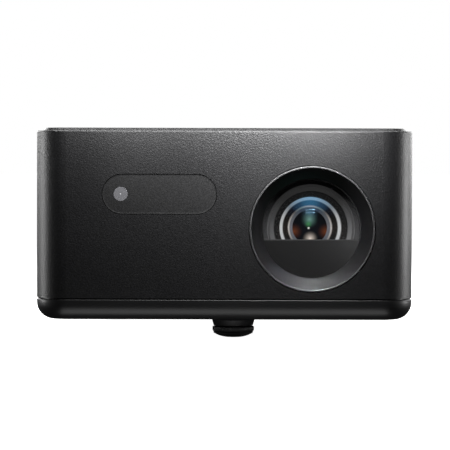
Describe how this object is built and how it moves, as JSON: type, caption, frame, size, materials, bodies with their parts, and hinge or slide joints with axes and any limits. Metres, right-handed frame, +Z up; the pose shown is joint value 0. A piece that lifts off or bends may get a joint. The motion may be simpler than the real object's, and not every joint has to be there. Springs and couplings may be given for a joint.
{
  "type": "home projector",
  "caption": "Low rounded-box projector with a conical lens bezel, half-moon lens mask, flush pill-shaped sensor window, inset lid and screw foot.",
  "frame": {"origin": "centre of the footprint, on the surface that the feet stand on", "axes": "+Z up, the lens looks along -Y, +X on the right of a person who faces the lens"},
  "size_m": [0.22, 0.208, 0.1234],
  "materials": {
    "casing_plastic": "fine-grained satin black",
    "base_plastic": "satin black",
    "window_plastic": "smooth smoky black",
    "frosted_cover": "frosted grey",
    "bezel_plastic": "smooth satin black",
    "barrel_black": "satin black",
    "foam": "soft foam",
    "foot_rubber": "matt rubber",
    "optical_glass": "coated optical glass",
    "steel": "bright steel",
    "screw_black": "black zinc",
    "brass": "turned brass",
    "cast_metal": "cast",
    "fin_metal": "thin sheet",
    "copper": "bare copper",
    "board_green": "printed circuit board",
    "chip_black": "moulded",
    "white_plastic": "moulded",
    "grey_plastic": "moulded",
    "ceramic_grey": "fired"
  },
  "bodies": {
    "casing": {"main_shell": "casing_plastic", "top_lid": "casing_plastic", "base_tray": "base_plastic", "rear_panel": "base_plastic", "left_grille": "base_plastic", "right_grille": "base_plastic", "lens_bezel": "bezel_plastic", "lens_mask": "bezel_plastic", "lens_seal": "foam", "sensor_window": "window_plastic", "camera_cover": "frosted_cover", "sensor_board": "board_green", "sensor_ribbon": "white_plastic", "lens_barrel": "barrel_black", "ring_clip": "steel", "focus_motor": "cast_metal", "foot_insert": "brass", "rear_feet": "foot_rubber", "tripod_insert": "brass", "left_fan_frame": "grey_plastic", "right_fan_frame": "grey_plastic", "dust_filter": "foam", "heat_sink": "fin_metal", "heat_pipes": "copper", "engine_housing": "cast_metal", "engine_cover": "cast_metal", "prism_pair": "optical_glass", "light_tunnel": "optical_glass", "wheel_motor": "steel", "laser_block": "cast_metal", "dmd_chip": "ceramic_grey", "dmd_board": "board_green", "dmd_heat_sink": "fin_metal", "main_board": "board_green", "board_chips": "chip_black", "power_board": "board_green", "power_parts": "chip_black", "left_speaker": "chip_black", "right_speaker": "chip_black", "key_board": "board_green", "hdmi_port": "steel", "usb_port": "steel", "audio_jack": "chip_black", "mains_inlet": "chip_black", "case_screws": "screw_black", "inner_screws": "steel"},
    "focus_ring": {"focus_ring": "grey_plastic"},
    "pinion": {"focus_pinion": "white_plastic", "pinion_shaft": "steel"},
    "focus_cell": {"focus_cell": "barrel_black", "guide_pins": "steel", "front_glass": "optical_glass", "rear_glass": "optical_glass"},
    "foot_pad": {"foot_pad": "foot_rubber"},
    "foot_knob": {"foot_knob": "base_plastic", "foot_stud": "steel"},
    "left_fan": {"left_fan_rotor": "chip_black"},
    "right_fan": {"right_fan_rotor": "chip_black"},
    "diffuser_wheel": {"diffuser_wheel": "optical_glass"},
    "power_key": {"power_key": "casing_plastic"}
  },
  "joints": [
    {"name": "focus_turn", "type": "hinge", "parent": "casing", "child": "focus_ring", "pos_m": [0.051, -0.0635, 0.0643], "axis": [0, 1, 0], "range_deg": [-30, 30]},
    {"name": "pinion_turn", "type": "hinge", "parent": "casing", "child": "pinion", "pos_m": [0.01547, -0.064, 0.08087], "axis": [0, 1, 0], "range_deg": [-134, 134]},
    {"name": "focus_slide", "type": "slide", "parent": "casing", "child": "focus_cell", "axis": [0, 1, 0], "range_m": [-0.0015, 0.0015]},
    {"name": "foot_travel", "type": "slide", "parent": "casing", "child": "foot_pad", "axis": [0, 0, -1], "range_m": [0, 0.008]},
    {"name": "foot_turn", "type": "hinge", "parent": "foot_pad", "child": "foot_knob", "pos_m": [0.0054, -0.079, 0.005], "axis": [0, 0, -1], "range_deg": [0, 1920]},
    {"name": "left_fan_spin", "type": "hinge", "parent": "casing", "child": "left_fan", "pos_m": [-0.1, 0.01, 0.0666], "axis": [1, 0, 0], "continuous": true},
    {"name": "right_fan_spin", "type": "hinge", "parent": "casing", "child": "right_fan", "pos_m": [0.1, 0.052, 0.0666], "axis": [1, 0, 0], "continuous": true},
    {"name": "wheel_spin", "type": "hinge", "parent": "casing", "child": "diffuser_wheel", "pos_m": [0.0709, -0.013, 0.0543], "axis": [1, 0, 0], "continuous": true},
    {"name": "key_press", "type": "slide", "parent": "casing", "child": "power_key", "axis": [0, 0, -1], "range_m": [0, 0.0008], "stiffness_N_per_m": 500}
  ],
  "couplings": [
    {"joint": "pinion_turn", "follows": "focus_turn", "ratio": -4.4444},
    {"joint": "focus_slide", "follows": "focus_turn", "m_per_rad": 0.0028648},
    {"joint": "foot_travel", "follows": "foot_turn", "m_per_rad": 0.00023873}
  ]
}
